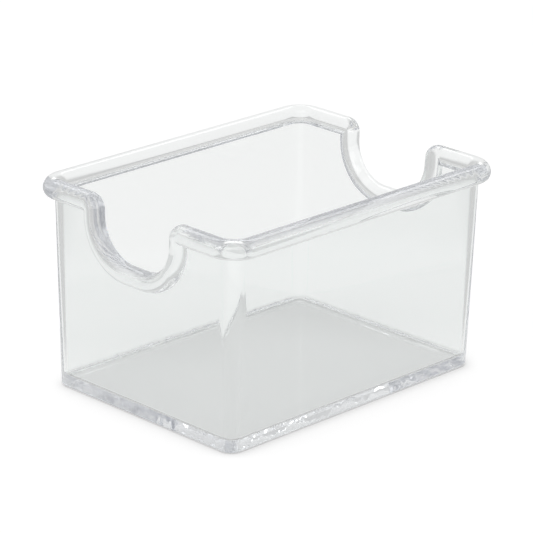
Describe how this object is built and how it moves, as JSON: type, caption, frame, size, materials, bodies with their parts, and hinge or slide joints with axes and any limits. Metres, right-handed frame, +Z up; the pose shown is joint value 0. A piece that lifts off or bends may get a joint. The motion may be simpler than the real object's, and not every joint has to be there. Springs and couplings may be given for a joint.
{
  "type": "sugar packet holder",
  "caption": "Clear plastic open-top table holder for sugar packets, a tapered tray with a rolled rim bead that dips into a rounded finger notch at each end.",
  "frame": {"origin": "middle of the flat underside that the holder stands on", "axes": "+X along the length, through the two notched ends; +Y across the width, between the two plain long walls; +Z up, towards the rim"},
  "size_m": [0.104, 0.078, 0.06],
  "materials": {
    "clear_plastic": "gloss"
  },
  "bodies": {
    "root": {"holder_body": "clear_plastic"}
  },
  "joints": []
}
